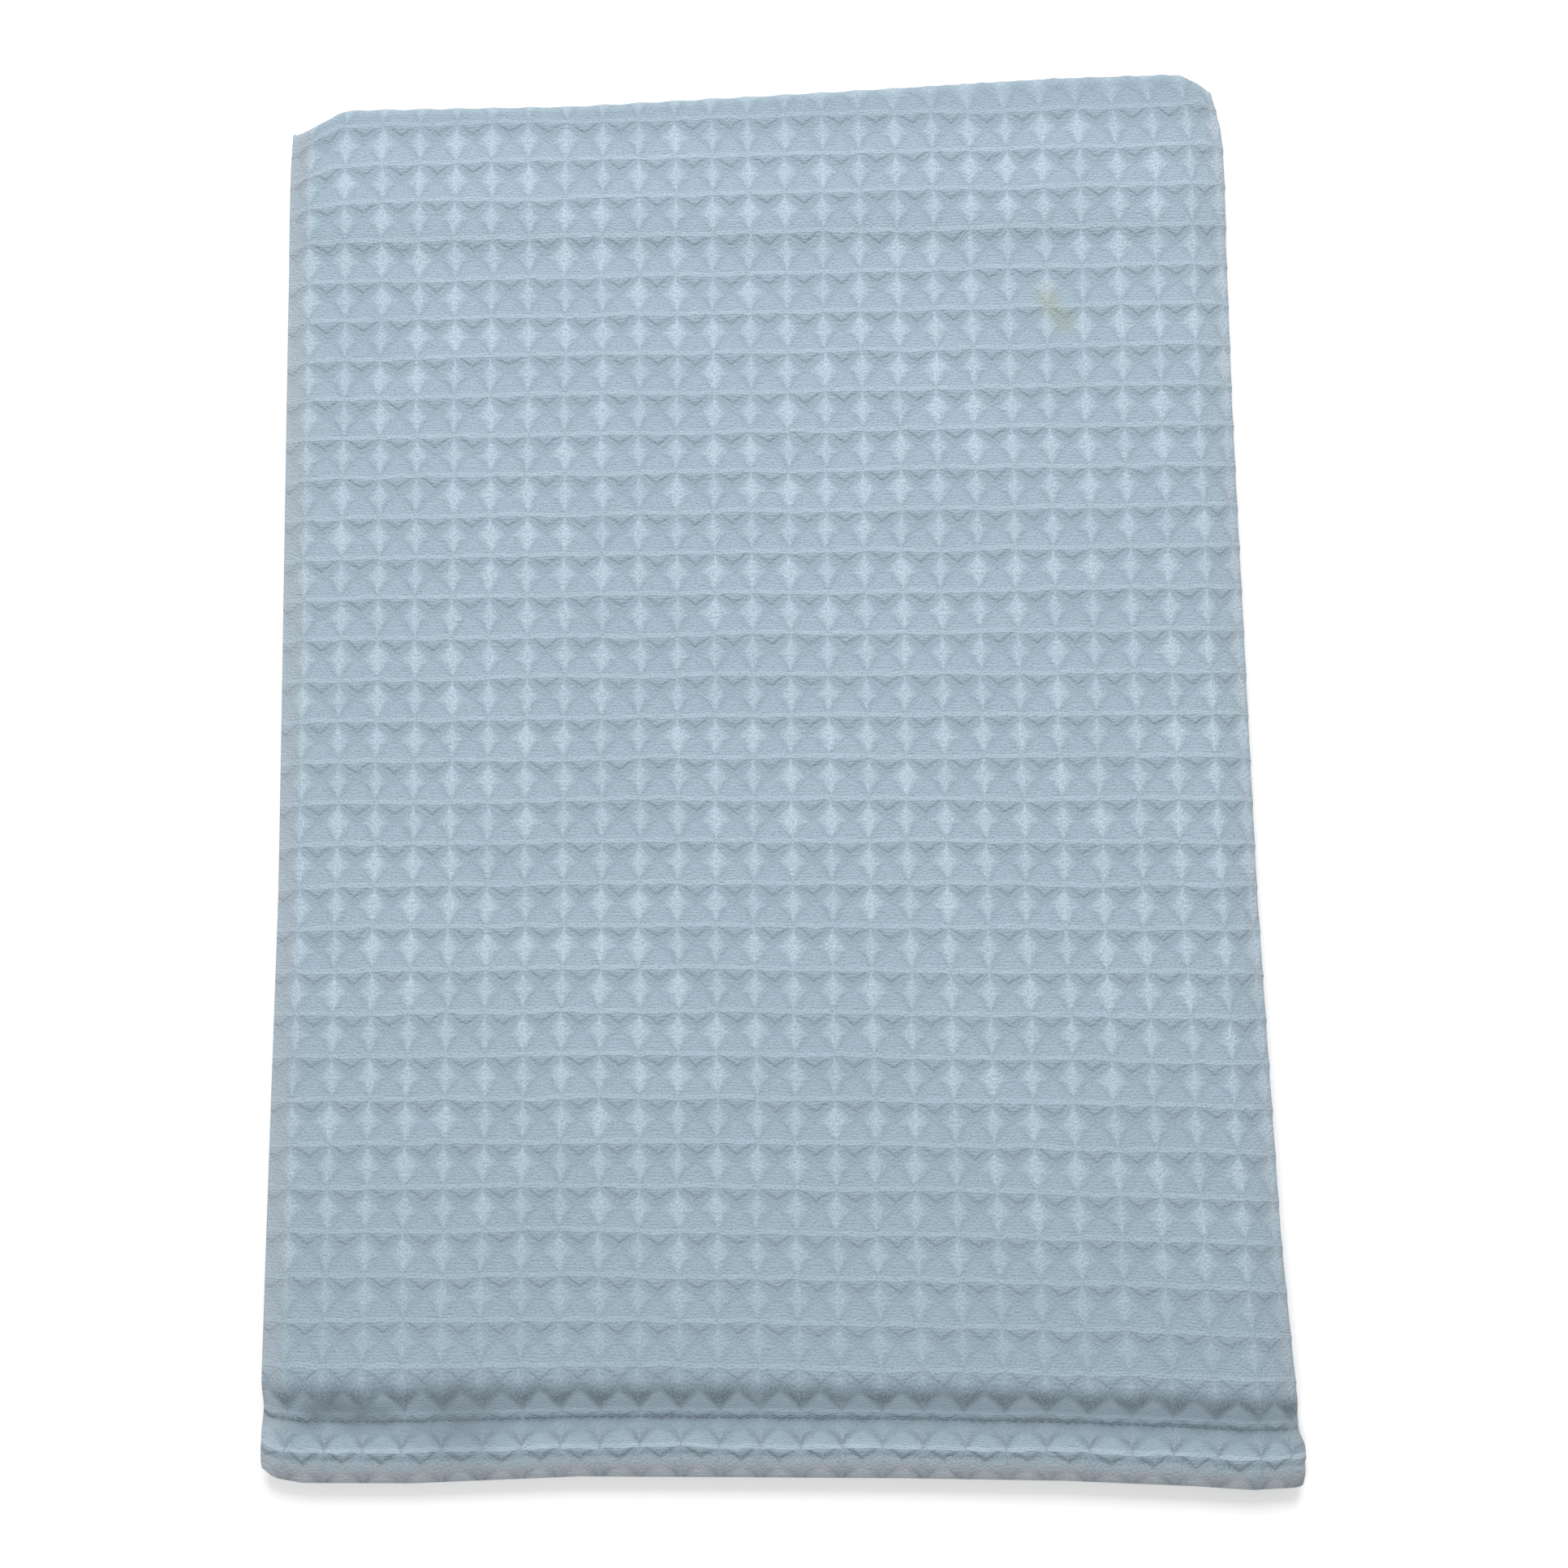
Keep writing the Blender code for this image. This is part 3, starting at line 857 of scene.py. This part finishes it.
    # painted shade lies in the hem's seam and under the chevrons on the hem's crown, and a painted
    # highlight along the crown
    for middle, reach, share, tint in (
        (0.83, 0.12, 1.00, deep),
        (-0.12, 0.12, 0.60, deep),
        (0.08, 0.10, 0.30, pale),
    ):
        away = add(tree, MATH, (forms.along, middle), operation="SUBTRACT")
        away = add(tree, MATH, (away,), operation="ABSOLUTE")
        near = add(tree, RAMP, (away, 0.0, reach, share, 0.0))
        layers.append((add(tree, MATH, (near, patchy), operation="MULTIPLY"), tint))
    # painted shade darkens the drop over the seam between its tents, and a painted highlight
    # lightens the tents
    away = add(tree, MATH, (forms.along, 1.42), operation="SUBTRACT")
    away = add(tree, MATH, (away,), operation="ABSOLUTE")
    near = add(tree, RAMP, (away, 0.05, 0.45, 1.0, 0.0))
    near = add(tree, MATH, (near, patchy), operation="MULTIPLY")
    for outside, within, tint in ((0.85, 0.25, deep), (0.0, 0.22, pale)):
        share = add(tree, RAMP, (forms.tent, 0.0, 1.0, outside, within))
        layers.append((add(tree, MATH, (near, share), operation="MULTIPLY"), tint))

    for ridge_a, ridge_b, reach, share, tint in (
        # ridge across, ridge along, reach in cells, share, colour: a small old stain, faint
        # painted shade of shallow dents near the far side, and painted shade in the hem's seam
        # where it is creased
        (20.02, 27.36, 0.42, 0.34, stain),
        (20.10, 27.04, 0.42, 0.44, stain),
        (20.48, 26.70, 0.44, 0.42, stain),
        (1.60, 27.20, 2.40, 0.16, shade),
        (16.60, 22.40, 1.60, 0.14, shade),
        (0.70, 1.04, 0.55, 0.85, deep),
        (1.30, 1.22, 0.60, 0.75, deep),
        (1.90, 0.98, 0.60, 0.85, deep),
        (2.50, 1.00, 0.45, 0.70, deep),
        (4.40, 0.70, 1.60, 0.55, deep),
    ):
        away = add(tree, VECTOR, (place, (ridge_a, ridge_b, 0.0)), "Value", operation="DISTANCE")
        layers.append((add(tree, RAMP, (away, 0.0, reach, share, 0.0)), tint))

    colour = (*settings.cloth_colour, 1.0)
    for share, tint in layers:
        colour = add(
            tree, "ShaderNodeMix", {"Factor": share, 6: colour, 7: tint}, 2, data_type="RGBA"
        )
    shader = add(
        tree,
        "ShaderNodeBsdfPrincipled",
        {
            "Base Color": colour,
            "Roughness": 0.92,
            "IOR": 1.45,
            "Specular IOR Level": 0.25,
            "Sheen Weight": 0.18,
            "Sheen Roughness": 0.45,
            "Normal": normal,
        },
    )
    add(tree, "ShaderNodeOutputMaterial", {"Surface": shader})
    return material


def thread_material(settings):
    """Spun cotton sewing thread, dyed with the cloth: matt, and finely twisted."""
    material = bpy.data.materials.new("cotton sewing thread, pale blue")
    material.use_nodes = True
    tree = material.node_tree
    tree.nodes.clear()
    place = add(tree, "ShaderNodeTexCoord", output="Object")
    # the twist is drawn at 0.4 mm a turn
    twist = add(
        tree, "ShaderNodeTexWave", {"Vector": place, "Scale": 400.0, "Distortion": 1.0}, 1
    )
    normal = add(tree, "ShaderNodeBump", {"Height": twist, "Distance": 0.0001, "Strength": 0.6})
    dark, light = (*settings.crease_shade_colour, 1.0), (*settings.shade_and_mottle_colour, 1.0)
    colour = add(tree, "ShaderNodeMix", {"Factor": twist, 6: dark, 7: light}, 2, data_type="RGBA")
    shader = add(
        tree,
        "ShaderNodeBsdfPrincipled",
        {"Base Color": colour, "Roughness": 0.75, "Sheen Weight": 0.2, "Normal": normal},
    )
    add(tree, "ShaderNodeOutputMaterial", {"Surface": shader})
    return material


def stage_material(settings):
    """Matt white card: an even pale ground that takes a soft shadow."""
    material = bpy.data.materials.new("matt white card")
    material.use_nodes = True
    shader = material.node_tree.nodes["Principled BSDF"]
    shader.inputs["Base Color"].default_value = (*settings.floor_colour, 1.0)
    shader.inputs["Roughness"].default_value = 0.9
    shader.inputs["Specular IOR Level"].default_value = 0.2
    return material


# Settings, operators and panel


class TowelSettings(bpy.types.PropertyGroup):
    """The towel's sizes and colours."""

    pit_depth: bpy.props.FloatProperty(
        name="Pit depth",
        description="How far the pits of the weave sink below its ridges",
        default=0.00048,
        unit="LENGTH",
    )
    warp_height: bpy.props.FloatProperty(
        name="Warp height",
        description="How far the warp floats stand up on the ridges",
        default=0.00010,
        unit="LENGTH",
    )
    weft_height: bpy.props.FloatProperty(
        name="Weft height",
        description="How far the weft floats stand up beside the ridges",
        default=0.00030,
        unit="LENGTH",
    )
    yarn_height: bpy.props.FloatProperty(
        name="Yarn height",
        description="Half the height of a single yarn",
        default=0.00004,
        unit="LENGTH",
    )
    fuzz_height: bpy.props.FloatProperty(
        name="Fuzz height",
        description="How far the loose fibre stands up",
        default=0.0008,
        unit="LENGTH",
    )
    cloth_colour: bpy.props.FloatVectorProperty(
        name="Cloth",
        description="The cloth's own colour",
        subtype="COLOR",
        default=linear_colour("#93A4B0"),
    )
    # painted highlights and sheen on the floats, domes, ridges and tents, and the yarns' lighter
    # streaks
    float_and_highlight_colour: bpy.props.FloatVectorProperty(
        name="Floats",
        description="The colour of the yarns that float on the ridges",
        subtype="COLOR",
        default=linear_colour("#B8C9D5"),
    )
    # painted shade in the pits, over the hem, the near rows and the far fold, and the cloth's
    # darker mottling
    shade_and_mottle_colour: bpy.props.FloatVectorProperty(
        name="Pits",
        description="The colour between the ridges",
        subtype="COLOR",
        default=linear_colour("#80919D"),
    )
    # painted shade deep in the seam, in the hem's cell lines and on the drop over the seam
    crease_shade_colour: bpy.props.FloatVectorProperty(
        name="Creases",
        description="The colour deep in the seam and the folds over it",
        subtype="COLOR",
        default=linear_colour("#6B7882"),
    )
    # greyer and darker at the hem's nose and the sides
    grey_edge_colour: bpy.props.FloatVectorProperty(
        name="Grey edges",
        description="The greyer colour of the hem's nose and the sides",
        subtype="COLOR",
        default=linear_colour("#95999E"),
    )
    stain_colour: bpy.props.FloatVectorProperty(
        name="Stain",
        description="The colour of the small old stain",
        subtype="COLOR",
        default=linear_colour("#9A9A80"),
    )
    stitch_pitch: bpy.props.FloatProperty(
        name="Stitch pitch",
        description="The distance from one stitch of the hem to the next",
        default=0.0030,
        unit="LENGTH",
    )
    thread_width: bpy.props.FloatProperty(
        name="Thread width",
        description="The thickness of the sewing thread",
        default=0.0004,
        unit="LENGTH",
    )


class StageSettings(bpy.types.PropertyGroup):
    """The floor and the lights."""

    floor_colour: bpy.props.FloatVectorProperty(
        name="Floor",
        description="The floor's colour",
        subtype="COLOR",
        default=linear_colour("#F4F4F4"),
    )
    floor_size: bpy.props.FloatProperty(
        name="Floor size",
        description="The length of the floor's sides",
        default=6.0,
        unit="LENGTH",
    )
    light_power: bpy.props.FloatProperty(
        name="Light",
        description="The power of the large soft light, in watts",
        default=37.0,
    )
    surround: bpy.props.FloatProperty(
        name="Surround",
        description="The brightness of the white room round the towel",
        default=0.46,
    )


class TOWEL_OT_cloth(bpy.types.Operator):
    """Makes the towel's cloth, one sheet folded in half and then in three"""

    bl_idname = "towel.cloth"
    bl_label = "Cloth"

    def execute(self, context):
        settings = context.scene.towel
        sheet = cloth_sheet()
        mesh = bpy.data.meshes.new("towel_cloth")
        mesh.from_pydata(sheet.places.tolist(), [], sheet.faces)
        mesh.shade_smooth()
        place = mesh.attributes.new("weave place", "FLOAT_VECTOR", "POINT")
        flat = np.column_stack([sheet.weave, np.zeros(len(sheet.weave))])
        place.data.foreach_set("vector", flat.ravel())
        relief = mesh.attributes.new("relief", "FLOAT", "POINT")
        relief.data.foreach_set("value", sheet.share)
        weave = mesh.uv_layers.new(name="weave")
        corners = np.empty(len(mesh.loops), int)
        mesh.loops.foreach_get("vertex_index", corners)
        weave.data.foreach_set("uv", sheet.weave[corners].ravel())
        cloth = grown(
            "towel_cloth",
            mesh,
            relief_tree(),
            Pit_depth=settings.pit_depth,
            Warp_height=settings.warp_height,
            Weft_height=settings.weft_height,
            Material=cotton_material(settings),
        )
        for name in ("weave place", "relief"):
            cloth.data.attributes.remove(cloth.data.attributes[name])
        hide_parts("towel")
        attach(cloth, "root")
        return {"FINISHED"}


class TOWEL_OT_stitches(bpy.types.Operator):
    """Makes the stitches that close the near hem"""

    bl_idname = "towel.stitches"
    bl_label = "Hem stitches"

    def execute(self, context):
        settings = context.scene.towel
        left_inset, right_inset = SEAM_INSETS
        across = np.linspace(LEFT_EDGE + left_inset, SIDE_BEND_START - right_inset, SEAM_POINTS)
        along = np.full_like(across, TOTAL - HEM_DEPTH)
        places = cloth_places(across, along, 1)
        curve = bpy.data.curves.new("near hem seam", "CURVE")
        curve.dimensions = "3D"
        spline = curve.splines.new("POLY")
        spline.points.add(len(places) - 1)
        for point, place in zip(spline.points, places):
            point.co = (*place, 1.0)
        stitches = grown(
            "hem_stitches",
            curve,
            stitch_tree(),
            Stitch_pitch=settings.stitch_pitch,
            Stitch_length=settings.stitch_pitch * STITCH_SHARE,
            Thread_width=settings.thread_width,
            Material=thread_material(settings),
        )
        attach(stitches, "root")
        return {"FINISHED"}


class TOWEL_OT_stage(bpy.types.Operator):
    """Makes the floor, the soft light and the camera"""

    bl_idname = "towel.stage"
    bl_label = "Stage"

    def execute(self, context):
        settings = context.scene.towel_stage
        scene = context.scene
        half = settings.floor_size / 2
        mesh = bpy.data.meshes.new("floor")
        corners = [(-half, -half, 0), (half, -half, 0), (half, half, 0), (-half, half, 0)]
        mesh.from_pydata(corners, [], [(0, 1, 2, 3)])
        mesh.materials.append(stage_material(settings))
        floor = bpy.data.objects.new("floor", mesh)
        scene.collection.objects.link(floor)

        world = bpy.data.worlds.new("white room")
        world.use_nodes = True
        background = world.node_tree.nodes["Background"]
        background.inputs["Color"].default_value = (1.0, 1.0, 1.0, 1.0)
        background.inputs["Strength"].default_value = settings.surround
        scene.world = world
        scene.view_settings.view_transform = "Standard"

        for name, place, power, size in (
            # name, place, share of the power, size
            ("soft window light", (0.10, 1.45, 1.20), 0.95, 1.0),
            ("soft fill", (-0.20, -0.50, 1.40), 0.28, 1.2),
        ):
            light = bpy.data.lights.new(name, "AREA")
            light.energy = settings.light_power * power
            light.size = size
            lamp = bpy.data.objects.new(name, light)
            lamp.location = place
            lamp.rotation_euler = (-Vector(place)).to_track_quat("-Z", "Y").to_euler()
            scene.collection.objects.link(lamp)

        camera_data = bpy.data.cameras.new("camera")
        camera_data.sensor_width = CAMERA_SENSOR
        camera_data.lens = CAMERA_LENS
        camera = bpy.data.objects.new("camera", camera_data)
        camera.location = CAMERA_PLACE
        camera.rotation_euler = [math.radians(angle) for angle in CAMERA_TURN]
        scene.collection.objects.link(camera)
        scene.camera = camera
        return {"FINISHED"}


class TOWEL_PT_panel(bpy.types.Panel):
    """The towel's settings and the buttons that make its pieces"""

    bl_label = "Folded bath towel"
    bl_idname = "TOWEL_PT_panel"
    bl_space_type = "VIEW_3D"
    bl_region_type = "UI"
    bl_category = "Towel"

    def draw(self, context):
        scene = context.scene
        for group, operators in (
            (scene.towel, (TOWEL_OT_cloth, TOWEL_OT_stitches)),
            (scene.towel_stage, (TOWEL_OT_stage,)),
        ):
            box = self.layout.box()
            for name in group.__annotations__:
                box.prop(group, name)
            for operator in operators:
                box.operator(operator.bl_idname)


CLASSES = (
    TowelSettings,
    StageSettings,
    TOWEL_OT_cloth,
    TOWEL_OT_stitches,
    TOWEL_OT_stage,
    TOWEL_PT_panel,
)


def register():
    for kind in CLASSES:
        bpy.utils.register_class(kind)
    bpy.types.Scene.towel = bpy.props.PointerProperty(type=TowelSettings)
    bpy.types.Scene.towel_stage = bpy.props.PointerProperty(type=StageSettings)


def unregister():
    del bpy.types.Scene.towel_stage
    del bpy.types.Scene.towel
    for kind in reversed(CLASSES):
        bpy.utils.unregister_class(kind)


def main():
    register()
    bpy.ops.towel.cloth()
    bpy.ops.towel.stitches()
    bpy.ops.towel.stage()


if __name__ == "__main__":
    main()
